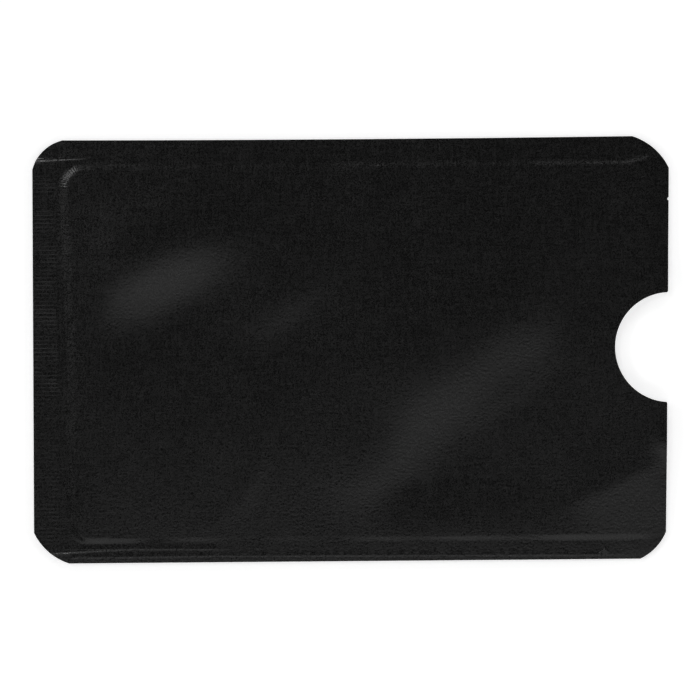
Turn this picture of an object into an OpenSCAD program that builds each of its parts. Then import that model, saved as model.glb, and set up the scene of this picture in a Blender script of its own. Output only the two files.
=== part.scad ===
// Foil card sleeve, lying flat and empty.
// Two laminated panels are heat-sealed together along three sides. The fourth side is the
// open mouth at +X, with a round thumb notch cut through both panels.
// Each panel is an outer film, a metal foil and an inner sealant film. The inner films of the
// two panels are fused into one weld in each seal. Inside the seals the panels rise away
// from each other over a rounded shoulder, and leave a pocket of the card's size.
// +X points out of the mouth, +Z up, and the origin is under the middle of the sleeve.

/* [Card] */
// Length of the card that the pocket holds
card_length = 85.6; // [70:0.1:110]
// Width of that card
card_width = 53.98; // [40:0.01:75]
// Thickness of that card
card_thickness = 0.76; // [0.5:0.01:1.2]
// Radius of that card's corners
card_corner_r = 3.18; // [2:0.01:5]

/* [Pocket] */
// Play beside each long edge of the card
side_play = 0.21; // [0.1:0.01:1]
// Play behind the card's inner end
end_play = 0.5; // [0.1:0.05:2]
// Play over the card's thickness
face_play = 0.14; // [0.05:0.01:0.5]
// Panel that reaches past the card at the mouth
mouth_overhang = 1.8; // [0.5:0.1:5]
// Width of the shoulder between a seal and the raised face of the pocket
shoulder_run = 0.7; // [0.4:0.05:2]

/* [Heat seals] */
// Width of the seal across the closed end
closed_end_seal_w = 3.8; // [2:0.1:8]
// Width of the seal along the +Y side
top_seal_w = 2.8; // [1.5:0.1:8]
// Width of the seal along the -Y side
bottom_seal_w = 3.0; // [1.5:0.1:8]

/* [Laminate] */
// Thickness of the outer film
outer_film_t = 0.04; // [0.03:0.005:0.2]
// Thickness of the foil
foil_t = 0.02; // [0.01:0.005:0.1]
// Thickness of the inner sealant film
inner_film_t = 0.06; // [0.03:0.005:0.2]

/* [Trim] */
// Radius of the thumb notch
notch_r = 8.0; // [5:0.1:12]
// How far the notch's centre lies outside the mouth's edge
notch_centre_out = 0.35; // [0:0.05:3]
// Angle by which the mouth's edge is out of square, in degrees
mouth_skew = 0.9; // [-1.5:0.1:1.5]
// Angle by which the closed end's edge is out of square, in degrees
closed_end_skew = 0.2; // [-1.5:0.1:1.5]
// Corner cut at the closed end, +Y: its reach along X and along Y, and how much the
// radius of its arc is over the longer reach
closed_top_cut = [4.2, 4.2, 1.7]; // [0.5:0.1:8]
// Corner cut at the closed end, -Y, in the same three sizes
closed_bottom_cut = [5.1, 4.5, 3.5]; // [0.5:0.1:8]
// Corner cut at the mouth, +Y, in the same three sizes
mouth_top_cut = [5.4, 4.7, 3.4]; // [0.5:0.1:8]
// Corner cut at the mouth, -Y, in the same three sizes
mouth_bottom_cut = [3.7, 3.9, 3.7]; // [0.5:0.1:8]

/* [Hidden] */
$fn = 96;

// Flat facets that make up the shoulder's S curve
shoulder_steps = 4;
// How far a cutting or clipped shape reaches past the solid that it trims
past = 3;

film_black = [0.10, 0.10, 0.105];
foil_silver = [0.80, 0.81, 0.83];
sealant_grey = [0.62, 0.64, 0.66];
weld_grey = [0.30, 0.31, 0.33];

panel_t = outer_film_t + foil_t + inner_film_t;
pocket_gap = card_thickness + face_play;
// How far each panel rises from the seals' middle plane
rise = pocket_gap / 2;
sleeve_h = pocket_gap + 2 * panel_t;

// Heights of each layer's inner face over the middle plane, in the seals
foil_level = inner_film_t;
outer_film_level = inner_film_t + foil_t;

// In the plane, X is measured from the middle of the closed end's edge
pocket_w = card_width + 2 * (side_play + shoulder_run);
pocket_l = shoulder_run + end_play + card_length + mouth_overhang;
sleeve_w = bottom_seal_w + pocket_w + top_seal_w;
sleeve_l = closed_end_seal_w + pocket_l;
side_y = sleeve_w / 2;
pocket_top_y = side_y - top_seal_w;
pocket_bottom_y = bottom_seal_w - side_y;
pocket_corner_r = card_corner_r + side_play + shoulder_run;
corner_x = closed_end_seal_w + pocket_corner_r;
corner_top_y = pocket_top_y - pocket_corner_r;
corner_bottom_y = pocket_bottom_y + pocket_corner_r;

// Edges of the sleeve at a given Y
function closed_edge_x(y) = y * tan(closed_end_skew);
function mouth_edge_x(y) = sleeve_l + y * tan(mouth_skew);

// Everything that is clipped to the outline runs out past the mouth to this X
clipped_x = max(mouth_edge_x(side_y), mouth_edge_x(-side_y)) + past;

// Ends of the two cut edges, where the corner cuts begin
closed_top_y = side_y - closed_top_cut.y;
closed_bottom_y = closed_bottom_cut.y - side_y;
mouth_top_y = side_y - mouth_top_cut.y;
mouth_bottom_y = mouth_bottom_cut.y - side_y;
low_x = min(closed_edge_x(closed_top_y), closed_edge_x(closed_bottom_y));
high_x = max(mouth_edge_x(mouth_top_y), mouth_edge_x(mouth_bottom_y));

function unit(v) = v / norm(v);
function soft_step(t) = t * t * (3 - 2 * t);

// Height of the shoulder at each facet's ends, from the seal inwards
function shoulder_line(level) = [
    for (i = [0:shoulder_steps])
        let (t = i / shoulder_steps)
        [t * shoulder_run, level + rise * soft_step(t)]
];

// Section of one layer through the shoulder: [distance inwards from the seal, height]
function shoulder_section(level, thickness) =
    let (low = shoulder_line(level), high = shoulder_line(level + thickness))
    concat(low, [for (i = [shoulder_steps:-1:0]) high[i]]);

// The four corners of the sheet before its corners are cut
closed_top = [closed_edge_x(side_y), side_y];
closed_bottom = [closed_edge_x(-side_y), -side_y];
mouth_top = [mouth_edge_x(side_y), side_y];
mouth_bottom = [mouth_edge_x(-side_y), -side_y];

// What a corner cut takes away: the corner's tip, outside an arc through two points that
// lie at the cut's reaches along the edges towards the corners beside and across
module corner_cut(corner, beside, across, cut) {
    u = unit(beside - corner);
    v = unit(across - corner);
    r = max(cut.x, cut.y) + cut.z;
    p = corner + cut.x / abs(u.x) * u;
    q = corner + cut.y / abs(v.y) * v;
    chord = q - p;
    across_chord = unit([-chord.y, chord.x]);
    inwards = across_chord * sign(across_chord * (u + v));
    middle = (p + q) / 2 + inwards * sqrt(r * r - chord * chord / 4);
    // The points of the two edges that lie beside the arc's middle, inside its circle
    on_u = corner + (middle - corner) * u * u;
    on_v = corner + (middle - corner) * v * v;
    difference() {
        polygon([
            middle, on_u, on_u - past * v,
            corner - past * (u + v), on_v - past * u, on_v
        ]);
        translate(middle) circle(r = r);
    }
}

// The sleeve's outline, with its corner cuts and the thumb notch
module outline() {
    difference() {
        polygon([closed_bottom, mouth_bottom, mouth_top, closed_top]);
        corner_cut(closed_top, mouth_top, closed_bottom, closed_top_cut);
        corner_cut(closed_bottom, mouth_bottom, closed_top, closed_bottom_cut);
        corner_cut(mouth_top, closed_top, mouth_bottom, mouth_top_cut);
        corner_cut(mouth_bottom, closed_bottom, mouth_top, mouth_bottom_cut);
        translate([mouth_edge_x(0) + notch_centre_out, 0]) circle(r = notch_r);
    }
}

// The pocket in plan, drawn in from the seals by inset, and open past the mouth
module pocket_plan(inset) {
    r = pocket_corner_r - inset;
    low_y = pocket_bottom_y + inset;
    high_y = pocket_top_y - inset;
    translate([corner_x, low_y]) square([clipped_x - corner_x, high_y - low_y]);
    translate([corner_x - r, corner_bottom_y])
        square([r, corner_top_y - corner_bottom_y]);
    for (y = [corner_bottom_y, corner_top_y]) translate([corner_x, y]) circle(r = r);
}

// The shoulder of one layer, round the pocket's closed end and along both sides
module shoulder(level, thickness) {
    section = shoulder_section(level, thickness);
    turned = [for (p = section) [pocket_corner_r - p.x, p.y]];
    translate([closed_end_seal_w, corner_top_y, 0])
        rotate([90, 0, 0])
        linear_extrude(corner_top_y - corner_bottom_y) polygon(section);
    translate([corner_x, pocket_bottom_y, 0])
        rotate([90, 0, 90])
        linear_extrude(clipped_x - corner_x) polygon(section);
    translate([corner_x, pocket_top_y, 0])
        mirror([0, 1, 0])
        rotate([90, 0, 90])
        linear_extrude(clipped_x - corner_x) polygon(section);
    translate([corner_x, corner_top_y, 0])
        rotate([0, 0, 90])
        rotate_extrude(angle = 90) polygon(turned);
    translate([corner_x, corner_bottom_y, 0])
        rotate([0, 0, 180])
        rotate_extrude(angle = 90) polygon(turned);
}

// The raised face of one layer over the pocket
module raised_face(level, thickness) {
    translate([0, 0, level + rise]) linear_extrude(thickness) pocket_plan(shoulder_run);
}

// The flat margin of one layer in the seals
module margin(level, thickness) {
    translate([0, 0, level])
        linear_extrude(thickness)
        difference() {
            translate([-past, -side_y - past])
                square([clipped_x + past, sleeve_w + 2 * past]);
            pocket_plan(0);
        }
}

// Trims its children to the sleeve's outline
module trimmed() {
    intersection() {
        translate([0, 0, -sleeve_h]) linear_extrude(2 * sleeve_h) outline();
        union() children();
    }
}

// Puts what is drawn over the middle plane on the front of the sleeve, or on its back
module front() {
    translate([-(low_x + high_x) / 2, 0, sleeve_h / 2]) children();
}
module back() {
    front() mirror([0, 0, 1]) children();
}

// A layer that covers the whole panel
module full_layer(level, thickness) {
    trimmed() {
        margin(level, thickness);
        shoulder(level, thickness);
        raised_face(level, thickness);
    }
}

// The inner film, which ends where the weld begins
module pocket_layer() {
    trimmed() {
        shoulder(0, inner_film_t);
        raised_face(0, inner_film_t);
    }
}

// The fused sealant between the two foils, inside the box from low to high in plan
module weld(low, high) {
    translate([0, 0, -inner_film_t])
        linear_extrude(2 * inner_film_t)
        intersection() {
            difference() {
                outline();
                pocket_plan(0);
            }
            translate(low) square(high - low);
        }
}

module front_outer_film() {
    color(film_black) front() full_layer(outer_film_level, outer_film_t);
}

module front_foil() {
    color(foil_silver) front() full_layer(foil_level, foil_t);
}

module front_inner_film() {
    color(sealant_grey) front() pocket_layer();
}

module back_inner_film() {
    color(sealant_grey) back() pocket_layer();
}

module back_foil() {
    color(foil_silver) back() full_layer(foil_level, foil_t);
}

module back_outer_film() {
    color(film_black) back() full_layer(outer_film_level, outer_film_t);
}

module closed_end_seal() {
    color(weld_grey)
        front() weld([-past, -side_y - past], [closed_end_seal_w, side_y + past]);
}

module top_side_seal() {
    color(weld_grey)
        front() weld([closed_end_seal_w, 0], [clipped_x, side_y + past]);
}

module bottom_side_seal() {
    color(weld_grey)
        front() weld([closed_end_seal_w, -side_y - past], [clipped_x, 0]);
}

front_outer_film();
front_foil();
front_inner_film();
back_inner_film();
back_foil();
back_outer_film();
closed_end_seal();
top_side_seal();
bottom_side_seal();
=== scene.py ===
"""A foil card sleeve lying flat, heat-sealed on three sides, with a thumb notch in its open mouth.

Each ply of its two laminated panels is a closed mesh over a plan of the sleeve. All plies follow the
same heights, so that they stay parallel. Lengths are in millimetres, apart from those of the lamps and
the floor, and MM turns them into metres where a mesh, a texture or the camera is made.
"""
import math
from typing import NamedTuple

import bpy
import numpy as np
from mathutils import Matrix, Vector
from mathutils.geometry import delaunay_2d_cdt


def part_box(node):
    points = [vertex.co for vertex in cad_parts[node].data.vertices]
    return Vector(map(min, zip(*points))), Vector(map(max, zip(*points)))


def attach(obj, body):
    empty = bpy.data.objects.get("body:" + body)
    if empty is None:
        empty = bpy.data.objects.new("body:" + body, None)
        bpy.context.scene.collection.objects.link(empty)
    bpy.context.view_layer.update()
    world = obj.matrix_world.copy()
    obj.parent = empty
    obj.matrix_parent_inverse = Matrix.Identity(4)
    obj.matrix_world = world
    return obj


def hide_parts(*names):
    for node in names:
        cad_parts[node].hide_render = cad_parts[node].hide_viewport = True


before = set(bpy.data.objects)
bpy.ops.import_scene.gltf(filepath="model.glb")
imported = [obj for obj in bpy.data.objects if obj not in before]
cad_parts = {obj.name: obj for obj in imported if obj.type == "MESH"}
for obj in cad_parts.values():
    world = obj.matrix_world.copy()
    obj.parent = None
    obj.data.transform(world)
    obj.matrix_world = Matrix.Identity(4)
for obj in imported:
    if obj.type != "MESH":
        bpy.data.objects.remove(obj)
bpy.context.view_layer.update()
MM = 0.001


def box_mm(node):
    """Lowest and highest corner of a CAD node, in millimetres."""
    low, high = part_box(node)
    return np.array(low) / MM, np.array(high) / MM


# Plies and levels, read from the frame. RISE is how far each panel stands off the middle over the pocket.
FILM_LOW, FILM_HIGH = box_mm("front_outer_film")
WELD_LOW, WELD_HIGH = box_mm("closed_end_seal")
LINER_LOW, LINER_HIGH = box_mm("front_inner_film")
FOIL_HIGH_Z = box_mm("front_foil")[1][2]
MIDDLE_Z = (WELD_LOW[2] + WELD_HIGH[2]) / 2
LINER_T = WELD_HIGH[2] - MIDDLE_Z
FOIL_T = FOIL_HIGH_Z - LINER_HIGH[2]
FILM_T = FILM_HIGH[2] - FOIL_HIGH_Z
RISE = LINER_HIGH[2] - LINER_T - MIDDLE_Z
HALF_W = FILM_HIGH[1]

# The outline: lean of the two cut ends, then the corner cuts as reach along X, reach along Y and
# how much the arc's radius is over the longer reach
CLOSED_LEAN = math.tan(math.radians(0.2))
MOUTH_LEAN = math.tan(math.radians(0.9))
CLOSED_TOP_CUT = (4.2, 4.2, 1.7)
CLOSED_BOTTOM_CUT = (5.1, 4.5, 3.5)
MOUTH_TOP_CUT = (5.4, 4.7, 3.4)
MOUTH_BOTTOM_CUT = (3.7, 3.9, 3.7)
CLOSED_X = FILM_LOW[0] + CLOSED_LEAN * (HALF_W - CLOSED_BOTTOM_CUT[1])
MOUTH_X = FILM_HIGH[0] - MOUTH_LEAN * (HALF_W - MOUTH_TOP_CUT[1])
# The top side is cut a little hollow, lowest at this X
TOP_HOLLOW = 0.12
TOP_HOLLOW_X = 5.0
TOP_HOLLOW_HALF_SPAN = 38.5
# Round cuts in the mouth's edge: Y, distance of the centre outside the edge, radius
THUMB_NOTCH = (0.0, 0.35, 8.0)
EDGE_NICK = (21.6, 0.02, 0.22)
MOUTH_CUTS = (THUMB_NOTCH, EDGE_NICK)

# The pocket in plan
POCKET_X = LINER_LOW[0]
POCKET_BOTTOM = LINER_LOW[1]
POCKET_TOP = LINER_HIGH[1]
POCKET_R = 4.09
CORNER_X = POCKET_X + POCKET_R
CORNER_TOP = POCKET_TOP - POCKET_R
CORNER_BOTTOM = POCKET_BOTTOM + POCKET_R

# The fine ribs that the sealing jaws leave, and the fine gathers across the pocket's corner
RIB_PITCH = 0.57
GATHER_PITCH = 0.42


def unit(v):
    return v / np.linalg.norm(v)


def angle_of(v):
    return math.atan2(v[1], v[0])


def ramp(value, start, run):
    """From 0 where value is start to 1 where it has grown by run, level at both ends."""
    t = np.clip((value - start) / run, 0.0, 1.0)
    return t * t * (3.0 - 2.0 * t)


DRIFT_WAVES = 7
DRIFT_SPREAD = (0.7, 1.5)


def drift(x, y, size, seed):
    """A smooth irregular pattern from about -1 to 1, with waves of about the given size."""
    rng = np.random.default_rng(seed)
    total = 0.0
    for _ in range(DRIFT_WAVES):
        turn = rng.uniform(0, math.tau)
        length = size * rng.uniform(*DRIFT_SPREAD)
        phase = rng.uniform(0, math.tau)
        total = total + np.sin((x * math.cos(turn) + y * math.sin(turn)) * math.tau / length + phase)
    return total / math.sqrt(DRIFT_WAVES)


def local(x, y, at, turn):
    """Distance to the left of an axis through a place, and along it. Turn is its angle from +X."""
    c, s = math.cos(math.radians(turn)), math.sin(math.radians(turn))
    dx, dy = x - at[0], y - at[1]
    return dy * c - dx * s, dx * c + dy * s


# The plan's edges

def closed_edge(y):
    return CLOSED_X + CLOSED_LEAN * y


def mouth_edge(y):
    return MOUTH_X + MOUTH_LEAN * y


def top_edge(x):
    return HALF_W - TOP_HOLLOW * (1.0 - ((x - TOP_HOLLOW_X) / TOP_HOLLOW_HALF_SPAN) ** 2)


class CornerCut:
    """The arc that a corner of the sheet is cut to."""

    def __init__(self, corner, beside, across, cut):
        reach_x, reach_y, over = cut
        self.u = unit(beside - corner)
        self.v = unit(across - corner)
        self.on_side = corner + reach_x / abs(self.u[0]) * self.u
        self.on_end = corner + reach_y / abs(self.v[1]) * self.v
        self.r = max(reach_x, reach_y) + over
        chord = self.on_end - self.on_side
        inwards = unit(np.array([-chord[1], chord[0]]))
        inwards = inwards * np.sign(inwards @ (self.u + self.v))
        half = np.linalg.norm(chord) / 2
        self.middle = (self.on_side + self.on_end) / 2 + inwards * math.sqrt(self.r ** 2 - half ** 2)

    def room(self, x, y):
        """How far inside the arc a point lies, and infinity where this corner has no say."""
        dx, dy = x - self.middle[0], y - self.middle[1]
        beyond = (dx * self.u[0] + dy * self.u[1] < 0) & (dx * self.v[0] + dy * self.v[1] < 0)
        return np.where(beyond, self.r - np.hypot(dx, dy), np.inf)


CLOSED_TOP = np.array([closed_edge(HALF_W), HALF_W])
CLOSED_BOTTOM = np.array([closed_edge(-HALF_W), -HALF_W])
MOUTH_TOP = np.array([mouth_edge(HALF_W), HALF_W])
MOUTH_BOTTOM = np.array([mouth_edge(-HALF_W), -HALF_W])
CUTS = {
    "closed_top": CornerCut(CLOSED_TOP, MOUTH_TOP, CLOSED_BOTTOM, CLOSED_TOP_CUT),
    "closed_bottom": CornerCut(CLOSED_BOTTOM, MOUTH_BOTTOM, CLOSED_TOP, CLOSED_BOTTOM_CUT),
    "mouth_top": CornerCut(MOUTH_TOP, CLOSED_TOP, MOUTH_BOTTOM, MOUTH_TOP_CUT),
    "mouth_bottom": CornerCut(MOUTH_BOTTOM, CLOSED_BOTTOM, MOUTH_TOP, MOUTH_BOTTOM_CUT),
}


def mouth_room(x, y):
    """How far inside the mouth's edge and its round cuts a point lies."""
    room = mouth_edge(y) - x
    for at_y, out, r in MOUTH_CUTS:
        room = np.minimum(room, np.hypot(x - mouth_edge(at_y) - out, y - at_y) - r)
    return room


def edge_room(x, y):
    """How far inside the sleeve's outline a point lies."""
    room = np.minimum(x - closed_edge(y), mouth_room(x, y))
    room = np.minimum(room, np.minimum(top_edge(x) - y, y + HALF_W))
    for cut in CUTS.values():
        room = np.minimum(room, cut.room(x, y))
    return room


# Keeps a division by a length from being one by 0
NEARLY_ZERO = 1e-9


def pocket_depth(x, y):
    """How far inside the pocket's plan a point lies, and the direction in which that grows.

    The direction is 0, 0 for a point that lies further in than the radius of the pocket's corners.
    """
    vx = np.minimum(x - CORNER_X, 0.0)
    vy = np.maximum(y - CORNER_TOP, 0.0) + np.minimum(y - CORNER_BOTTOM, 0.0)
    reach = np.hypot(vx, vy)
    inner = np.minimum(np.maximum(x - CORNER_X, 0.0), np.minimum(CORNER_TOP - y, y - CORNER_BOTTOM))
    depth = np.where(reach > 0, POCKET_R - reach, POCKET_R + np.maximum(inner, 0.0))
    reach = np.maximum(reach, NEARLY_ZERO)
    return depth, -vx / reach, -vy / reach


# Sharp folds in the seals

# Start and end, the width of the steep side at both, and how broken it is
FOLDS = (
    ((-46.7, 27.95), (-38.0, 28.15), (0.55, 0.06), 0.15),
    ((-46.0, -28.72), (-18.0, -28.95), (0.09, 0.05), 0.6),
    ((-45.6, -29.33), (-33.0, -28.90), (0.34, 0.04), 0.2),
    ((-41.0, -30.02), (-20.0, -29.92), (0.07, 0.06), 0.7),
    ((-21.0, -29.93), (41.5, -30.25), (0.05, 0.05), 0.8),
    ((36.7, -29.30), (35.7, -30.05), (0.14, 0.06), 0.2),
)
# How steep the steep side is, how far the other side reaches, over what length a fold begins, and over
# what share of its length it ends
FOLD_SLOPE = 0.65
FOLD_REACH = 0.5
FOLD_START = 0.3
FOLD_END_SHARE = 0.1
# The power by which a fold narrows, then the size and seed of its breaks, how much of the width they
# take as a mean and as a swing, and the least and most that they leave of it
FOLD_NARROWING = 2.5
BREAK_DRIFT = (1.3, 31)
BREAK_MEAN, BREAK_SWING = 0.5, 0.8
BREAK_LIMITS = (0.05, 1.2)


def fold_width(x, share, width, broken):
    """Width of a fold's steep side, which narrows along it and comes and goes a little."""
    at_start, at_end = width
    full = at_end + (at_start - at_end) * (1.0 - share) ** FOLD_NARROWING
    lost = broken * (BREAK_MEAN + BREAK_SWING * drift(x, 0.0 * x, *BREAK_DRIFT))
    return full * np.clip(1.0 - lost, *BREAK_LIMITS)


def fold(x, y, start, end, width, broken):
    """A fold with one steep side, on the right of its line, and one that comes down slowly."""
    turn = math.degrees(math.atan2(end[1] - start[1], end[0] - start[0]))
    s, t = local(x, y, start, turn)
    share = np.clip(t / math.dist(start, end), 0.0, 1.0)
    wide = fold_width(x, share, width, broken)
    ends = ramp(t, -FOLD_START, FOLD_START) * ramp(1.0 - share, 0.0, FOLD_END_SHARE)
    steep = np.clip(1.0 + s / wide, 0.0, 1.0)
    slow = np.exp(-(np.maximum(s, 0.0) / FOLD_REACH) ** 2)
    return FOLD_SLOPE * wide * ends * np.where(s > 0, slow, steep)


# The triangulated plans

class Steps(NamedTuple):
    """How far apart the points of a plan lie."""
    rib: float  # between points across the ribs, in the seals
    seal_rows: float  # between rows in the top and the closed seal
    bottom_seal_rows: float
    pocket: float  # along the pocket's edge
    shoulder: float  # along the rows inside that edge
    shoulder_rows: float
    mouth_rows: tuple  # places of the rows, inwards from the mouth's edge
    face: float  # over the rest of the pocket
    small_forms: bool  # whether folds and gathers have points of their own


RIB_STEP = RIB_PITCH / 4
# The outer films show every fine form, and the plies under them only the soft ones
FINE = Steps(
    rib=RIB_STEP, seal_rows=0.4, bottom_seal_rows=0.15, pocket=0.2, shoulder=0.4, shoulder_rows=0.15,
    mouth_rows=(0.2, 0.45, 0.75, 1.1, 1.5, 1.95, 2.4), face=0.65, small_forms=True,
)
PLAIN = Steps(
    rib=0.6, seal_rows=0.8, bottom_seal_rows=0.8, pocket=0.3, shoulder=0.6, shoulder_rows=0.2,
    mouth_rows=(0.5, 1.2, 2.0), face=1.3, small_forms=False,
)
# Steps that both plans share: along the outline's arcs, along its mouth, along the rows beside the
# mouth, and along the line between the closed seal and a side seal
ARC_STEP = 0.2
MOUTH_STEP = 0.2
MOUTH_ROW_STEP = 0.35
SPLIT_STEP = 0.3
# Least distance between a free point of the plan and the lines in it
CLEAR = 0.1
# How far the lines in the plan run on past its outline, where it is trimmed
PAST = 1.5
# The strips along the pocket's edge and along the mouth that are meshed more finely
SHOULDER_STRIP = 2.4
MOUTH_STRIP = 2.6
# How far the first row of points lies from the closed end's edge, from the pocket's top and bottom edge
# outwards, and from the pocket's edge inwards
CLOSED_ROW, TOP_ROW, BOTTOM_ROW, SHOULDER_ROW = 0.25, 0.2, 0.15, 0.15
# At each distance from the mouth's edge, the straight row stops where the round one round the notch
# crosses it, give or take the slack, and the round one stops this much before that
ROW_SLACK = 0.01
ROW_ROOM = 0.15
# Along a fold: its step, its rows over the steep side as shares of that side's width, for a fold that
# starts wider than the limit and for the others, and its rows on the slow side
FOLD_STEP = 0.2
WIDE_FOLD = 0.1
WIDE_FOLD_ROWS = (1.0, 0.8, 0.5, 0.2, 0.0)
NARROW_FOLD_ROWS = (1.0, 0.5, 0.0)
SLOW_SIDE_ROWS = (0.15, 0.3, 0.5)
# The fan over the gathers: its outer and inner row, inside the pocket's edge, and the step between
# rows, then the step along them and the angle where they start
GATHER_ROWS = (0.05, 2.2, 0.16)
GATHER_STEP = GATHER_PITCH / 5
GATHER_START = 0.55 * math.pi
# A triangle is dropped if twice its area is under this, and points nearer than this become one
LEAST_AREA = 1e-7
MERGE = 1e-6


def arc(centre, r, start, end, step):
    """Points from one angle to another, both included."""
    count = max(2, round(abs(end - start) * r / step))
    a = np.linspace(start, end, count + 1)
    return np.stack([centre[0] + r * np.cos(a), centre[1] + r * np.sin(a)], 1)


def corner_arc(cut, start, end):
    a = angle_of(start - cut.middle)
    b = angle_of(end - cut.middle)
    return arc(cut.middle, cut.r, a, b + math.tau * (b < a), ARC_STEP)


def multiples(low, high, step):
    """The multiples of step between two numbers, with half a step of room at both ends."""
    return np.arange(math.ceil(low / step + 0.5), math.floor(high / step - 0.5) + 1) * step


def lattice(xs, ys):
    x, y = np.meshgrid(xs, ys)
    return np.stack([x.ravel(), y.ravel()], 1)


def outline():
    """The sleeve's outline, anticlockwise from the corner at the closed end and -Y."""
    cb, mb, mt, ct = (CUTS[n] for n in ("closed_bottom", "mouth_bottom", "mouth_top", "closed_top"))
    parts = [corner_arc(cb, cb.on_end, cb.on_side)]
    x = multiples(cb.on_side[0], mb.on_side[0], RIB_STEP)
    parts.append(np.stack([x, np.full_like(x, -HALF_W)], 1))
    parts.append(corner_arc(mb, mb.on_side, mb.on_end))
    low = mb.on_end[1]
    for at_y, out, r in sorted(MOUTH_CUTS):
        half = math.sqrt(r ** 2 - out ** 2)
        y = multiples(low, at_y - half, MOUTH_STEP)
        parts.append(np.stack([mouth_edge(y), y], 1))
        centre = np.array([mouth_edge(at_y) + out, at_y])
        turn = math.pi / 2 + math.asin(out / r)
        # The nick is so small that it needs shorter steps than the other arcs
        parts.append(arc(centre, r, -turn, turn - math.tau, min(ARC_STEP, r / 3)))
        low = at_y + half
    y = multiples(low, mt.on_end[1], MOUTH_STEP)
    parts.append(np.stack([mouth_edge(y), y], 1))
    parts.append(corner_arc(mt, mt.on_end, mt.on_side))
    x = multiples(ct.on_side[0], mt.on_side[0], RIB_STEP)[::-1]
    parts.append(np.stack([x, top_edge(x)], 1))
    parts.append(corner_arc(ct, ct.on_side, ct.on_end))
    y = multiples(cb.on_end[1], ct.on_end[1], RIB_STEP)[::-1]
    parts.append(np.stack([closed_edge(y), y], 1))
    return np.concatenate(parts)


def pocket_line(inset, step):
    """The pocket's plan drawn in by inset, from the mouth along +Y, round the closed end and back."""
    r = POCKET_R - inset
    top, bottom, closed = POCKET_TOP - inset, POCKET_BOTTOM + inset, POCKET_X + inset
    x = np.arange(FILM_HIGH[0] + PAST, CORNER_X + step / 2, -step)
    y = np.arange(CORNER_TOP - step / 2, CORNER_BOTTOM + step / 2, -step)
    return np.concatenate([
        np.stack([x, np.full_like(x, top)], 1),
        arc((CORNER_X, CORNER_TOP), r, math.pi / 2, math.pi, step),
        np.stack([np.full_like(y, closed), y], 1),
        arc((CORNER_X, CORNER_BOTTOM), r, math.pi, 1.5 * math.pi, step),
        np.stack([x[::-1], np.full_like(x, bottom)], 1),
    ])


def split_line(corner_y, way):
    """From a corner of the pocket straight out to the side: 1 goes to the top and -1 to the bottom."""
    out = np.arange(SPLIT_STEP, HALF_W - way * corner_y + PAST, SPLIT_STEP)
    return np.stack([np.full_like(out, POCKET_X), corner_y + way * out], 1)


def seal_points(steps):
    """Points over the three seals, in rows across the ribs."""
    rib_x = multiples(CLOSED_X, MOUTH_X, steps.rib)
    rib_y = multiples(POCKET_BOTTOM, POCKET_TOP, steps.rib)
    closed = lattice(np.arange(CLOSED_X + CLOSED_ROW, CORNER_X, steps.seal_rows), rib_y)
    top = lattice(rib_x, np.arange(POCKET_TOP + TOP_ROW, HALF_W, steps.seal_rows))
    bottom = lattice(rib_x, np.arange(POCKET_BOTTOM - BOTTOM_ROW, -HALF_W, -steps.bottom_seal_rows))
    points = np.concatenate([closed, top, bottom])
    return points[pocket_depth(*points.T)[0] < -CLEAR]


def shoulder_points(steps):
    rows = np.arange(SHOULDER_ROW, SHOULDER_STRIP, steps.shoulder_rows)
    return np.concatenate([pocket_line(inset, steps.shoulder) for inset in rows])


def mouth_points(steps):
    """Rows along the mouth's edge and round its notch."""
    at_y, out, r = THUMB_NOTCH
    centre = (mouth_edge(at_y) + out, at_y)
    y = np.arange(POCKET_BOTTOM, POCKET_TOP, MOUTH_ROW_STEP)
    parts = []
    for row in steps.mouth_rows:
        straight = np.stack([mouth_edge(y) - row, y], 1)
        round_notch = arc(centre, r + row, math.pi / 2, 1.5 * math.pi, MOUTH_ROW_STEP)
        off_notch = np.hypot(*(straight - centre).T) - r
        off_edge = mouth_edge(round_notch[:, 1]) - round_notch[:, 0]
        parts += [straight[off_notch > row - ROW_SLACK], round_notch[off_edge > row + ROW_ROOM]]
    points = np.concatenate(parts)
    return points[pocket_depth(*points.T)[0] > SHOULDER_STRIP + CLEAR]


def face_points(steps):
    """A staggered grid over the rest of the pocket."""
    step = steps.face
    parts = []
    for i, y in enumerate(np.arange(POCKET_BOTTOM, POCKET_TOP, step * math.sqrt(3) / 2)):
        x = np.arange(POCKET_X + (i % 2) * step / 2, FILM_HIGH[0], step)
        parts.append(np.stack([x, np.full_like(x, y)], 1))
    points = np.concatenate(parts)
    x, y = points.T
    return points[(pocket_depth(x, y)[0] > SHOULDER_STRIP + 2 * CLEAR) & (mouth_room(x, y) > MOUTH_STRIP)]


def fold_points():
    """Rows along the sharp folds, close together over their steep sides."""
    parts = []
    for start, end, width, broken in FOLDS:
        start, end = np.array(start), np.array(end)
        along = unit(end - start)
        left = np.array([-along[1], along[0]])
        share = np.arange(0.0, 1.0, FOLD_STEP / math.dist(start, end))[:, None]
        middle = start + share * (end - start)
        wide = fold_width(middle[:, :1], share, width, broken)
        shares = WIDE_FOLD_ROWS if width[0] > WIDE_FOLD else NARROW_FOLD_ROWS
        rows = [-w * wide for w in shares] + [w + 0.0 * wide for w in SLOW_SIDE_ROWS]
        parts += [middle + row * left for row in rows]
    return np.concatenate(parts)


def gather_points():
    """A close fan of points over the gathers."""
    outer, inner, step = GATHER_ROWS
    rows = np.arange(POCKET_R - inner, POCKET_R - outer, step)
    centre = (CORNER_X, CORNER_TOP)
    return np.concatenate([arc(centre, r, GATHER_START, math.pi, GATHER_STEP) for r in rows])


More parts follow.
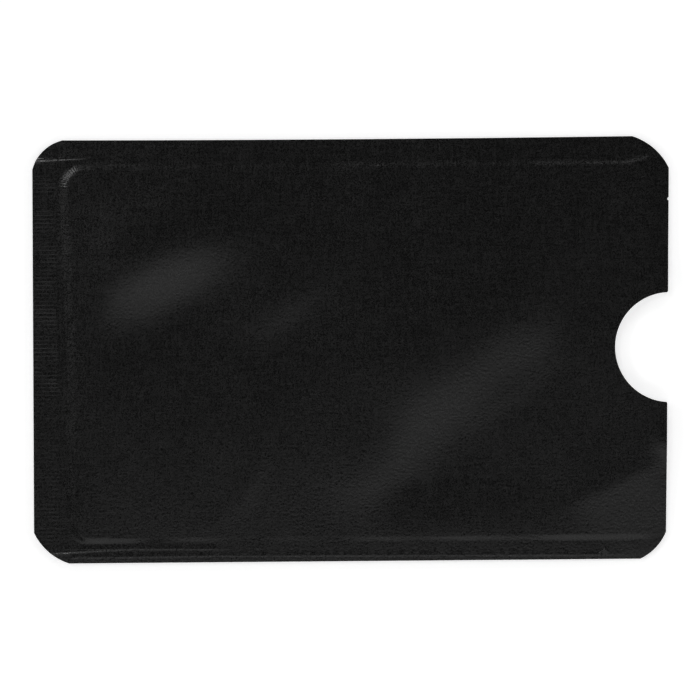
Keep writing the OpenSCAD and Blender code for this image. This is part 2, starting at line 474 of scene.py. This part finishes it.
class Plan:
    """A triangulated plan of the sleeve, in which each triangle lies in a seal or in the pocket."""

    def __init__(self, steps):
        lines = (
            (outline(), True),
            (pocket_line(0.0, steps.pocket), False),
            (split_line(CORNER_TOP, 1), False),
            (split_line(CORNER_BOTTOM, -1), False),
        )
        free = [seal_points(steps), shoulder_points(steps), mouth_points(steps), face_points(steps)]
        if steps.small_forms:
            free += [fold_points(), gather_points()]
        free = np.concatenate(free)
        x, y = free.T
        beside_split = (np.abs(x - POCKET_X) < CLEAR) & ((y > CORNER_TOP) | (y < CORNER_BOTTOM))
        free = free[(edge_room(x, y) > CLEAR) & ~beside_split]
        points, edges = [], []
        for line, closed in lines:
            first = sum(map(len, points))
            points.append(line)
            edges += [(first + i, first + i + 1) for i in range(len(line) - 1)]
            if closed:
                edges.append((first + len(line) - 1, first))
        points = np.concatenate([*points, free])
        found = delaunay_2d_cdt([Vector(p) for p in points.tolist()], edges, [], 0, MERGE, False)
        self.points = np.array([tuple(p) for p in found[0]])
        triangles = np.array(found[2])
        a, b, c = (self.points[triangles[:, i]] for i in range(3))
        area = np.cross(b - a, c - a)
        triangles[area < 0] = triangles[area < 0][:, ::-1]
        middle = (a + b + c) / 3
        inside = (edge_room(*middle.T) > 0) & (np.abs(area) > LEAST_AREA)
        self.triangles = triangles[inside]
        x, y = middle[inside].T
        self.in_pocket = pocket_depth(x, y)[0] > 0
        self.in_closed_end = ~self.in_pocket & (x < POCKET_X)
        self.in_top_side = ~self.in_pocket & (x > POCKET_X) & (y > 0)
        self.in_bottom_side = ~self.in_pocket & (x > POCKET_X) & (y < 0)

    def part(self, chosen=None):
        """Points, triangles and outline edges of the chosen triangles, renumbered."""
        triangles = self.triangles if chosen is None else self.triangles[chosen]
        used, flat = np.unique(triangles, return_inverse=True)
        triangles = flat.reshape(-1, 3)
        edges = np.concatenate([triangles[:, [0, 1]], triangles[:, [1, 2]], triangles[:, [2, 0]]])
        keys = {tuple(e) for e in edges.tolist()}
        rim = np.array([e for e in keys if (e[1], e[0]) not in keys])
        return self.points[used], triangles, rim


# Soft forms of the panels

# Bands in which the front panel falls to the right of an axis. Each has a place on the axis, its angle
# from +X, the fall's half width across it, the band's half length along it, and half of the fall. The
# panel is back at its level at about fade times the half width, and lean lifts the whole band by that
# share of its height.
SLOPE_BANDS = (
    # two that make the broad one near the closed end, and the small one to its right
    dict(at=(-27.2, 9.8), turn=27, across=5.2, along=10.5, height=0.66, fade=2.3),
    dict(at=(-25.0, 11.0), turn=27, across=7.5, along=16.0, height=0.34, fade=2.2),
    dict(at=(-9.5, 5.0), turn=36, across=2.8, along=8.5, height=0.25, fade=3.0),
    # the long diagonal one towards the mouth, which bends: its middle, lower and upper stretch
    dict(at=(14.2, -7.8), turn=43, across=5.4, along=10.5, height=0.56, fade=3.2, lean=0.1),
    dict(at=(5.6, -18.5), turn=58, across=3.4, along=7.0, height=0.26, fade=3.0),
    dict(at=(24.5, 0.0), turn=33, across=4.6, along=7.0, height=0.24, fade=3.2),
    # the thin line beside it
    dict(at=(23.5, -7.5), turn=34, across=0.8, along=8.0, height=0.02, fade=4.0),
    # the faint ones under the top seal
    dict(at=(5.5, 20.5), turn=62, across=2.4, along=6.5, height=0.28, fade=2.5),
    dict(at=(31.5, 9.0), turn=72, across=2.4, along=9.0, height=0.20, fade=2.5),
    # the short one at the mouth, above the corner's crease
    dict(at=(45.6, -15.2), turn=14, across=2.2, along=2.0, height=0.20, fade=2.0, lean=0.3),
)
# How near to the pocket's shoulder the bands come
BANDS_FADE = 9.0
# The round print that something pressed into the panel: its centre, half width and half height,
# then how broad and how high its rim is
PRINT_AT, PRINT_HALF = (-24.8, -12.6), (11.6, 13.2)
PRINT_RIM, PRINT_H = 1.5, 0.08
# The share of that height that is left towards the closed end, and where it grows to the whole, then
# the share that is lost towards the bottom seal, and where that comes. Both places are a (start, run)
# of the direction from the centre, which is 1 towards the mouth, or towards the seal.
PRINT_FAINT, PRINT_GROWS = 0.3, (-0.3, 0.9)
PRINT_LOSS, PRINT_GOES = 0.8, (0.5, 0.4)
PRINT_LEAST_REACH = 0.1
# The crease across the corner at the mouth and -Y: a point on it, its angle, how rounded it is, how
# high it stands, how far that reaches across it, and how far before the point
CORNER_CREASE = ((36.1, -20.9), 25.0)
CREASE_ROUND = 0.4
CREASE_H, CREASE_REACH, CREASE_START_REACH = 0.22, 8.0, 5.0
# The fall beyond the crease: where it comes along it, as (start, run), the front panel's fall and the
# reach over which it comes, and the fall of the whole sheet for each millimetre
FALL_BEGINS = (-8.0, 8.0)
PANEL_FALL, PANEL_FALL_REACH = 0.20, 8.0
SHEET_FALL = 0.015
# How far the panel rises at its shoulder, as (place along the side, rise). From there it comes up
# to its full height over the reach.
CLOSED_RISE, CLOSED_REACH = ((-28, 0.17), (-20, 0.20), (-4, 0.25), (6, 0.24), (28, 0.20)), 7.0
TOP_RISE = ((-38, 0.18), (-31, 0.14), (-24, 0.06), (-3, 0.06), (2, 0.25), (12, 0.24), (18, 0.16),
            (30, 0.30), (38, 0.30), (43, 0.34))
TOP_REACH = 13.0
BOTTOM_RISE = ((-38, 0.20), (-34, 0.12), (-29, 0.01), (-2, 0.01), (6, 0.05), (27, 0.04), (31, 0.13),
               (40, 0.13), (44.5, 0.08))
BOTTOM_REACH = 34.0
# The power by which the panel comes up from its shoulder, and how sharply the curves of two sides meet
SAG_CURVE = 1.3
SAG_MEETING = 4
# The upper lip falls towards the corner of the mouth. It begins at a (start, run) along X, nearer to
# the closed end by the slant for each millimetre from its middle along the mouth, and at one along Y.
LIP_FALL = 0.35
LIP_FROM_X, LIP_MIDDLE_Y, LIP_SLANT = (42.6, 4.5), 20.0, 0.06
LIP_FROM_Y = (8.0, 8.0)
# Slow waves all over: their height, and their size and seed. The back panel stands this much off the
# surface too.
FRONT_WAVE_H, FRONT_WAVES = 0.015, (15.0, 3)
BACK_WAVE_H, BACK_WAVES = 0.07, (26.0, 11)
BACK_STAND = 0.10
# The sheet droops beyond this distance from the middle: how rounded that begins, the slope in the top
# seal, and the curve in the bottom one
DROOP_Y, DROOP_ROUND = 27.5, 0.6
TOP_DROOP = 0.060
BOTTOM_DROOP = 0.006
# The shoulder, as (start inside the pocket's edge, run). At the closed end it goes from the lower pair
# to the upper one between the middle and this Y. Along the top it spreads outwards beyond an X, by a
# share of the distance.
CLOSED_SHOULDER_LOWER, CLOSED_SHOULDER_UPPER, UPPER_Y = (0.60, 2.2), (-0.25, 2.0), 21.0
TOP_SHOULDER, TOP_SPREAD, TOP_SPREAD_X = (0.4, 1.3), 0.24, 40.0
BOTTOM_SHOULDER = (-0.25, 0.9)


def slope_band(x, y, at, turn, across, along, height, fade, lean=0.0):
    s, t = local(x, y, at, turn)
    return height * (np.tanh(s / across) + lean) * np.exp(-(s / (fade * across)) ** 2 - (t / along) ** 2)


def round_print(x, y):
    """A low rim round a place, strongest on the side of the mouth and weakest at the bottom seal."""
    u, v = (x - PRINT_AT[0]) / PRINT_HALF[0], (y - PRINT_AT[1]) / PRINT_HALF[1]
    reach = np.maximum(np.hypot(u, v), PRINT_LEAST_REACH)
    off = (reach - 1.0) * PRINT_HALF[0]
    grown = PRINT_FAINT + (1.0 - PRINT_FAINT) * ramp(u / reach, *PRINT_GROWS)
    left = 1.0 - PRINT_LOSS * ramp(-v / reach, *PRINT_GOES)
    return PRINT_H * grown * left * np.exp(-(off / PRINT_RIM) ** 2)


def past_crease(x, y):
    """Distance beyond the crease, and 0 before it. It fades out towards the closed end."""
    s, t = local(x, y, *CORNER_CREASE)
    return 0.5 * (np.hypot(s, CREASE_ROUND) - s) * ramp(t, *FALL_BEGINS)


def crease_ridge(x, y):
    s, t = local(x, y, *CORNER_CREASE)
    across = np.exp(-np.hypot(s, CREASE_ROUND) / CREASE_REACH)
    return CREASE_H * across * np.exp(-(np.minimum(t, 0.0) / CREASE_START_REACH) ** 2)


def sag(along, inwards, rise, reach):
    """How far the panel stays below its full height near a side."""
    return (RISE - np.interp(along, *zip(*rise))) * np.clip(1.0 - inwards / reach, 0.0, 1.0) ** SAG_CURVE


def front_wander(x, y):
    """How far the front panel strays from its flat form."""
    sags = (
        sag(y, x - POCKET_X, CLOSED_RISE, CLOSED_REACH),
        sag(x, POCKET_TOP - y, TOP_RISE, TOP_REACH),
        sag(x, y - POCKET_BOTTOM, BOTTOM_RISE, BOTTOM_REACH),
    )
    total = -sum(s ** SAG_MEETING for s in sags) ** (1 / SAG_MEETING)
    clear = ramp(pocket_depth(x, y)[0], 0.0, BANDS_FADE)
    total = total + clear * sum(slope_band(x, y, **form) for form in SLOPE_BANDS)
    total = total + round_print(x, y) + crease_ridge(x, y)
    total = total - PANEL_FALL * (1.0 - np.exp(-past_crease(x, y) / PANEL_FALL_REACH))
    lip = ramp(x + LIP_SLANT * np.abs(y - LIP_MIDDLE_Y), *LIP_FROM_X) * ramp(y, *LIP_FROM_Y)
    return total - LIP_FALL * lip + FRONT_WAVE_H * drift(x, y, *FRONT_WAVES)


def back_wander(x, y):
    """The same for the back panel, which only strays upwards, because it lies on a surface."""
    return BACK_STAND + BACK_WAVE_H * drift(x, y, *BACK_WAVES) + SHEET_FALL * past_crease(x, y)


def sheet_lift(x, y):
    """How the whole sleeve droops towards its rim."""
    over_top = 0.5 * (np.hypot(y - DROOP_Y, DROOP_ROUND) + (y - DROOP_Y))
    over_bottom = 0.5 * (np.hypot(y + DROOP_Y, DROOP_ROUND) - (y + DROOP_Y))
    droop = TOP_DROOP * over_top + BOTTOM_DROOP * over_bottom ** 2
    return -droop - SHEET_FALL * past_crease(x, y)


def shoulder(x, y):
    """From 0 in the seals to 1 over the pocket."""
    depth, nx, ny = pocket_depth(x, y)
    upper = ramp(y, 0.0, UPPER_Y)
    closed = zip(CLOSED_SHOULDER_LOWER, CLOSED_SHOULDER_UPPER)
    start_closed, run_closed = (low + (high - low) * upper for low, high in closed)
    start_top = TOP_SHOULDER[0] - TOP_SPREAD * np.maximum(x - TOP_SPREAD_X, 0.0)
    start_side = np.where(y > 0, start_top, BOTTOM_SHOULDER[0])
    run_side = np.where(y > 0, TOP_SHOULDER[1], BOTTOM_SHOULDER[1])
    far_in = (nx == 0) & (ny == 0)
    start = start_closed * nx ** 2 + start_side * ny ** 2
    run = run_closed * nx ** 2 + run_side * ny ** 2 + far_in
    return ramp(depth, start, run)


def front_lift(x, y):
    return shoulder(x, y) * (RISE + front_wander(x, y))


def back_lift(x, y):
    return -shoulder(x, y) * (RISE - back_wander(x, y))


# Fine forms of the outer films

# The gathers run across the shoulder at the corner of the closed end and +Y: their height, how far
# inside the pocket's edge their ring lies, which is also its half width, the angle where they begin
# with the turn over which they come, and how uneven their spacing is
GATHER_H = 0.010
GATHER_RING = 0.9
GATHERS_BEGIN = (1.75, 0.4)
GATHER_UNEVEN, GATHER_UNEVEN_WAVES = 1.5, 7.0
# The ribs: their height, where they begin outside the pocket's edge with the run over which they come,
# and how uneven their height is, with the size and seed of that
RIB_H = 0.016
RIBS_BEGIN = (0.1, 0.4)
RIB_UNEVEN, RIB_DRIFT = 0.35, (5.0, 21)
# In the closed seal they end this far past the pocket's line, over the run. They are lowest at the cut
# and grow from there by a share for each millimetre, and in the lower half only a faint share is left.
END_RIBS_PAST, END_RIBS_RUN = 1.0, 1.5
END_RIBS_AT_CUT, END_RIBS_GROWTH = 0.8, 0.15
END_RIBS_FAINT, END_RIBS_GROW = 0.35, (-9.0, 8.0)
# Their share of the height in the two side seals, and the run over which they come in there
TOP_RIBS, BOTTOM_RIBS, SIDE_RIBS_RUN = 0.3, 0.6, 0.4


def gathers(x, y):
    vx, vy = x - CORNER_X, y - CORNER_TOP
    angle = np.arctan2(vy, vx)
    across = np.hypot(vx, vy) - (POCKET_R - GATHER_RING)
    over = (vx < 0) * (vy > 0) * np.exp(-(across / GATHER_RING) ** 2) * ramp(angle, *GATHERS_BEGIN)
    uneven = GATHER_UNEVEN * np.sin(GATHER_UNEVEN_WAVES * angle)
    return GATHER_H * over * (1.0 + np.sin(angle * POCKET_R * math.tau / GATHER_PITCH + uneven))


def ribs(x, y):
    """The print of the sealing jaws on the outer film."""
    in_seal = ramp(-pocket_depth(x, y)[0], *RIBS_BEGIN)
    in_end = ramp(POCKET_X + END_RIBS_PAST - x, 0.0, END_RIBS_RUN)
    in_end = in_end * (END_RIBS_AT_CUT + END_RIBS_GROWTH * np.maximum(x - CLOSED_X, 0.0))
    in_end = in_end * (END_RIBS_FAINT + (1.0 - END_RIBS_FAINT) * ramp(y, *END_RIBS_GROW))
    in_side = ramp(np.abs(y), POCKET_TOP - SIDE_RIBS_RUN, SIDE_RIBS_RUN)
    in_side = in_side * np.where(y > 0, TOP_RIBS, BOTTOM_RIBS)
    waves = np.sin(y * math.tau / RIB_PITCH) * in_end + np.sin(x * math.tau / RIB_PITCH) * in_side
    return RIB_H * in_seal * waves * (1.0 + RIB_UNEVEN * drift(x, y, *RIB_DRIFT))


# Edges that turn more than this are sharp, in degrees
SHARP_EDGE = 50


def solid(name, points, triangles, rim, low, high):
    """A closed mesh between two heights over a part of the plan."""
    count = len(points)
    vertices = np.empty((2 * count, 3))
    vertices[:count, :2] = points
    vertices[count:, :2] = points
    vertices[:count, 2] = low
    vertices[count:, 2] = high
    sides = np.concatenate([
        np.stack([rim[:, 0], rim[:, 1], rim[:, 1] + count], 1),
        np.stack([rim[:, 0], rim[:, 1] + count, rim[:, 0] + count], 1),
    ])
    faces = np.concatenate([triangles[:, ::-1], triangles + count, sides])
    mesh = bpy.data.meshes.new(name)
    mesh.vertices.add(len(vertices))
    mesh.vertices.foreach_set("co", (vertices * MM).astype(np.float32).ravel())
    mesh.loops.add(faces.size)
    mesh.loops.foreach_set("vertex_index", faces.astype(np.int32).ravel())
    mesh.polygons.add(len(faces))
    mesh.polygons.foreach_set("loop_start", np.arange(0, faces.size, 3, dtype=np.int32))
    mesh.update(calc_edges=True)
    mesh.validate()
    mesh.polygons.foreach_set("use_smooth", np.ones(len(mesh.polygons), bool))
    mesh.set_sharp_from_angle(angle=math.radians(SHARP_EDGE))
    piece = bpy.data.objects.new(name, mesh)
    bpy.context.scene.collection.objects.link(piece)
    return piece


# Shader tools

class Signal:
    """A socket's value. Arithmetic on it adds Math nodes."""

    def __init__(self, board, socket):
        self.board = board
        self.socket = socket

    def maths(self, operation, *values):
        return self.board.node("ShaderNodeMath", {"operation": operation}, dict(enumerate(values)))

    def __add__(self, other):
        return self.maths("ADD", self, other)

    def __sub__(self, other):
        return self.maths("SUBTRACT", self, other)

    def __rsub__(self, other):
        return self.maths("SUBTRACT", other, self)

    def __mul__(self, other):
        return self.maths("MULTIPLY", self, other)

    __radd__ = __add__
    __rmul__ = __mul__


class Board:
    """A node tree to build a material or the world on."""

    def __init__(self, owner):
        owner.use_nodes = True
        self.tree = owner.node_tree
        self.tree.nodes.clear()

    def node(self, kind, settings=None, values=None, output=0):
        """Adds a node: settings first, then the values or links of its sockets. Gives one output."""
        made = self.tree.nodes.new(kind)
        for name, value in (settings or {}).items():
            if name == "stops":
                elements = made.color_ramp.elements
                while len(elements) < len(value):
                    elements.new(0.5)
                for stop, (at, level) in zip(elements, value):
                    stop.position = at
                    stop.color = grey(level)
            else:
                setattr(made, name, value)
        for name, value in (values or {}).items():
            if isinstance(value, Signal):
                self.tree.links.new(value.socket, made.inputs[name])
            else:
                made.inputs[name].default_value = value
        return Signal(self, made.outputs[output]) if made.outputs else None

    def blend(self, share, first, second):
        """A colour from first to second as share goes from 0 to 1."""
        values = {0: share, 6: (*first, 1.0), 7: (*second, 1.0)}
        return self.node("ShaderNodeMix", {"data_type": "RGBA"}, values, output=2)


def grey(level):
    return (level, level, level, 1.0)


def new_material(name):
    material = bpy.data.materials.new(name)
    return material, Board(material)


def place(board, stretch=(1.0, 1.0, 1.0)):
    """The surface's own place in millimetres, stretched."""
    spot = board.node("ShaderNodeTexCoord", output="Object")
    scale = tuple(s / MM for s in stretch)
    return board.node("ShaderNodeMapping", {}, {"Vector": spot, "Scale": scale})


def noise(board, where, scale, detail=2.0, rough=0.5):
    values = {"Vector": where, "Scale": scale, "Detail": detail, "Roughness": rough}
    return board.node("ShaderNodeTexNoise", {}, values, output="Fac")


def bump(board, height, unit_height):
    """The normal over a relief, with the millimetres that a height of 1 stands for."""
    values = {"Strength": 1.0, "Distance": unit_height * MM, "Height": height}
    return board.node("ShaderNodeBump", {}, values)


def output_surface(board, shader):
    board.node("ShaderNodeOutputMaterial", {}, {"Surface": shader})


# The black film's patterns, in cells to the millimetre: the threads along and across their length, the
# grain, the specks and the cloud
THREAD_CELLS = (0.35, 3.2)
GRAIN_CELLS = 2.8
SPECK_CELLS = 11.0
CLOUD_CELLS, CLOUD_DETAIL, CLOUD_MIX = 0.12, 3.0, 0.55
# The roughness and how much each pattern changes it, then how much each counts in the relief
FILM_ROUGH = 0.25
CLOUD_ROUGH, SPECK_ROUGH, THREAD_ROUGH = 0.05, 0.47, 0.20
THREAD_RELIEF, GRAIN_RELIEF, FILM_RELIEF_H = 0.5, 2.4, 0.012
BLACK_DEEP, BLACK_PALE = (0.0003, 0.0003, 0.0003), (0.0030, 0.0030, 0.0030)
FILM_IOR = 1.6


def black_film():
    """Satin black film with a fine linen grain."""
    material, board = new_material("satin_black_film")
    flat = place(board)
    along, across = THREAD_CELLS
    weft = noise(board, place(board, (along, across, 1.0)), 1.0) - 0.5
    warp = noise(board, place(board, (across, along, 1.0)), 1.0) - 0.5
    grain = noise(board, flat, GRAIN_CELLS) - 0.5
    cells = board.node("ShaderNodeTexVoronoi", {}, {"Vector": flat, "Scale": SPECK_CELLS}, output="Color")
    cloud = noise(board, flat, CLOUD_CELLS, CLOUD_DETAIL, CLOUD_MIX)
    threads = weft * THREAD_ROUGH + warp * THREAD_ROUGH
    relief = weft * THREAD_RELIEF + warp * THREAD_RELIEF + grain * GRAIN_RELIEF
    shader = board.node("ShaderNodeBsdfPrincipled", {}, {
        "Base Color": board.blend(cells, BLACK_DEEP, BLACK_PALE),
        "Roughness": FILM_ROUGH + cloud * CLOUD_ROUGH + (cells - 0.5) * SPECK_ROUGH + threads,
        "IOR": FILM_IOR,
        "Normal": bump(board, relief, FILM_RELIEF_H),
    })
    output_surface(board, shader)
    return material


# The foil: the rolling lines, in cells to the millimetre along and across them
LINE_CELLS, LINE_DETAIL, LINE_H = (0.4, 14.0), 3.0, 0.002
FOIL_COLOUR = (0.80, 0.81, 0.83, 1.0)
FOIL_ROUGH, LINE_ROUGH = 0.24, 0.10


def bare_foil():
    """Bright rolled foil, with fine lines along the rolling direction."""
    material, board = new_material("rolled_foil")
    along, across = LINE_CELLS
    lines = noise(board, place(board, (along, across, across)), 1.0, LINE_DETAIL)
    shader = board.node("ShaderNodeBsdfPrincipled", {}, {
        "Base Color": FOIL_COLOUR,
        "Metallic": 1.0,
        "Roughness": FOIL_ROUGH + lines * LINE_ROUGH,
        "Normal": bump(board, lines, LINE_H),
    })
    output_surface(board, shader)
    return material


# The sealant: colour and roughness where it lines the pocket and where it is fused, then its haze and
# its pits, in cells to the millimetre
OPEN_SEALANT = ((0.62, 0.64, 0.66), 0.30)
FUSED_SEALANT = ((0.45, 0.46, 0.48), 0.36)
HAZE_CELLS, HAZE_DETAIL, HAZE_SHADE, HAZE_ROUGH = 0.6, 3.0, 0.88, 0.08
PIT_CELLS, PIT_H = 7.0, 0.004
SEALANT_IOR = 1.5


def sealant(name, colour, roughness):
    """Milky sealant film over foil."""
    material, board = new_material(name)
    haze = noise(board, place(board), HAZE_CELLS, HAZE_DETAIL)
    pits = noise(board, place(board), PIT_CELLS)
    shader = board.node("ShaderNodeBsdfPrincipled", {}, {
        "Base Color": board.blend(haze, tuple(c * HAZE_SHADE for c in colour), colour),
        "Roughness": roughness + haze * HAZE_ROUGH,
        "IOR": SEALANT_IOR,
        "Normal": bump(board, pits, PIT_H),
    })
    output_surface(board, shader)
    return material


# The floor's own shade, and how strongly it glows for the camera under the sleeve
FLOOR_SHADE = 0.80
FLOOR_GLOW = 0.55
# Where the floor starts to fade into the white around it, and over what distance, in metres
FLOOR_NEAR, FLOOR_FADE = 0.3, 0.9
FLOOR_HALF = 4.0


def white_floor():
    """Pale matt floor that shows as white to the camera, with the object's shadow on it."""
    material, board = new_material("white_floor")
    rays = ("Is Camera Ray", "Is Glossy Ray", "Is Transmission Ray")
    camera, glossy, through = (board.node("ShaderNodeLightPath", output=ray) for ray in rays)
    seen = camera.maths("MAXIMUM", camera, glossy.maths("MAXIMUM", glossy, through))
    spot = board.node("ShaderNodeTexCoord", output="Object")
    away = board.node("ShaderNodeVectorMath", {"operation": "LENGTH"}, {0: spot}, output="Value")
    far = (away - FLOOR_NEAR) * (1.0 / FLOOR_FADE)
    far = far.maths("MINIMUM", far.maths("MAXIMUM", far, 0.0), 1.0)
    strength = seen * (FLOOR_GLOW + far * (1.0 - FLOOR_GLOW))
    glow = board.node("ShaderNodeEmission", {}, {"Color": grey(1.0), "Strength": strength})
    matt = board.node("ShaderNodeBsdfDiffuse", {}, {"Color": grey(FLOOR_SHADE)})
    output_surface(board, board.node("ShaderNodeAddShader", {}, {0: matt, 1: glow}))
    return material


def make_floor():
    h = FLOOR_HALF
    mesh = bpy.data.meshes.new("floor")
    mesh.from_pydata([(-h, -h, 0), (h, -h, 0), (h, h, 0), (-h, h, 0)], [], [(0, 1, 2, 3)])
    mesh.materials.append(white_floor())
    floor = bpy.data.objects.new("floor", mesh)
    bpy.context.scene.collection.objects.link(floor)


# Lamps: angle from +X in plan, angle from straight up, distance, width and height in metres, and
# radiance, where 1 is a white surface. Four low ones, all alike, stand along the sides.
LAMPS = {
    "key": (140, 40, 1.8, 0.65, 0.65, 3.1),
    "fill": (275, 28.5, 1.2, 0.75, 0.85, 0.54),
}
SIDE_LAMPS = {"left_side": 180, "top_side": 90, "right_side": 0, "bottom_side": 270}
SIDE_LAMP = (66, 1.5, 1.6, 0.25, 5.5)


def direction(azimuth, from_zenith):
    """A unit vector, by its angle from +X in plan and its angle from straight up."""
    a, z = math.radians(azimuth), math.radians(from_zenith)
    return Vector((math.sin(z) * math.cos(a), math.sin(z) * math.sin(a), math.cos(z)))


def soft_box(name, azimuth, from_zenith, distance, width, height, level):
    """A rectangular lamp that faces the sleeve."""
    lamp = bpy.data.lights.new(name, "AREA")
    lamp.shape = "RECTANGLE"
    lamp.size, lamp.size_y = width, height
    lamp.energy = level * math.pi * width * height
    obj = bpy.data.objects.new(name, lamp)
    way = direction(azimuth, from_zenith)
    obj.location = way * distance
    obj.rotation_euler = way.to_track_quat("Z", "Y").to_euler()
    bpy.context.scene.collection.objects.link(obj)


def make_lights():
    for name, lamp in LAMPS.items():
        soft_box(name, *lamp)
    for name, azimuth in SIDE_LAMPS.items():
        soft_box(name, azimuth, *SIDE_LAMP)


# How bright the surroundings are for the sleeve, by how far up: near the horizon and above
HORIZON_LIGHT, SKY_LIGHT = 0.10, 0.052
HORIZON_TO, SKY_FROM = 0.06, 0.20


def make_world():
    """White behind the sleeve, and dim in what falls on it."""
    world = bpy.data.worlds.new("studio")
    bpy.context.scene.world = world
    board = Board(world)
    spot = board.node("ShaderNodeTexCoord", output="Generated")
    height = board.node("ShaderNodeSeparateXYZ", {}, {"Vector": spot}, output="Z")
    stops = ((0.0, HORIZON_LIGHT), (HORIZON_TO, HORIZON_LIGHT), (SKY_FROM, SKY_LIGHT), (1.0, SKY_LIGHT))
    level = board.node("ShaderNodeValToRGB", {"stops": stops}, {"Fac": height}, output="Color")
    camera = board.node("ShaderNodeLightPath", output="Is Camera Ray")
    shown = camera.maths("MAXIMUM", camera, level)
    sky = board.node("ShaderNodeBackground", {}, {"Color": shown, "Strength": 1.0})
    board.node("ShaderNodeOutputWorld", {}, {"Surface": sky})


# The photograph's frame: its width on the sleeve, the sleeve's place in it and its turn
PICTURE_W = 101.92
PICTURE_CENTRE = (-0.204, -0.038)
PICTURE_TURN = math.radians(0.48)
# The camera's height over the face that it looks at, and the height of that face
CAMERA_HEIGHT = 550.0
TOP_FACE_Z = 0.9
SENSOR_W = 36.0
# What the camera takes in, from near to far, in metres
CLIP_NEAR, CLIP_FAR = 0.01, 100.0


def make_camera():
    data = bpy.data.cameras.new("camera")
    data.sensor_width = SENSOR_W
    data.lens = SENSOR_W * CAMERA_HEIGHT / PICTURE_W
    data.clip_start, data.clip_end = CLIP_NEAR, CLIP_FAR
    camera = bpy.data.objects.new("camera", data)
    camera.location = Vector((*PICTURE_CENTRE, CAMERA_HEIGHT + TOP_FACE_Z)) * MM
    camera.rotation_euler = (0.0, 0.0, -PICTURE_TURN)
    bpy.context.scene.collection.objects.link(camera)
    bpy.context.scene.camera = camera


# The pieces

def finish_piece(piece, node, material):
    piece.data.materials.append(material)
    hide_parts(node)
    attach(piece, "root")


def make_panel(side, fine, plain, film, foil, liner):
    """The three plies of the front or the back panel."""
    front = side == "front"
    up = 1.0 if front else -1.0
    plies = (
        ("outer_film", fine, None, FOIL_T + LINER_T, FILM_T, "outer_film", film),
        ("foil", plain, None, LINER_T, FOIL_T, "foil", foil),
        ("inner_film", plain, plain.in_pocket, 0.0, LINER_T, "sealant_film", liner),
    )
    for ply, plan, chosen, level, thickness, slot, material in plies:
        points, triangles, rim = plan.part(chosen)
        x, y = points.T
        base = MIDDLE_Z + sheet_lift(x, y) + (front_lift(x, y) if front else back_lift(x, y))
        near = base + up * level
        far = base + up * (level + thickness)
        if ply == "outer_film":
            far = far + up * ribs(x, y)
            if front:
                far = far + gathers(x, y) + sum(fold(x, y, *line) for line in FOLDS)
        low, high = (near, far) if front else (far, near)
        piece = solid(f"{side}_{ply}_sheet", points, triangles, rim, low, high)
        finish_piece(piece, f"{side}_{ply}", material)


def make_seals(plan, weld):
    """The three seals, each between the foils of the two panels."""
    seals = {
        "closed_end": plan.in_closed_end,
        "top_side": plan.in_top_side,
        "bottom_side": plan.in_bottom_side,
    }
    for name, chosen in seals.items():
        points, triangles, rim = plan.part(chosen)
        x, y = points.T
        middle = MIDDLE_Z + sheet_lift(x, y)
        low, high = middle + back_lift(x, y) - LINER_T, middle + front_lift(x, y) + LINER_T
        piece = solid(f"{name}_weld", points, triangles, rim, low, high)
        finish_piece(piece, f"{name}_seal", weld)


make_camera()
make_lights()
make_world()
make_floor()
fine_plan = Plan(FINE)
plain_plan = Plan(PLAIN)
film = black_film()
foil = bare_foil()
liner = sealant("milky_sealant", *OPEN_SEALANT)
weld = sealant("fused_sealant", *FUSED_SEALANT)
for side in ("front", "back"):
    make_panel(side, fine_plan, plain_plan, film, foil, liner)
make_seals(plain_plan, weld)

bpy.context.scene.view_settings.view_transform = "Standard"
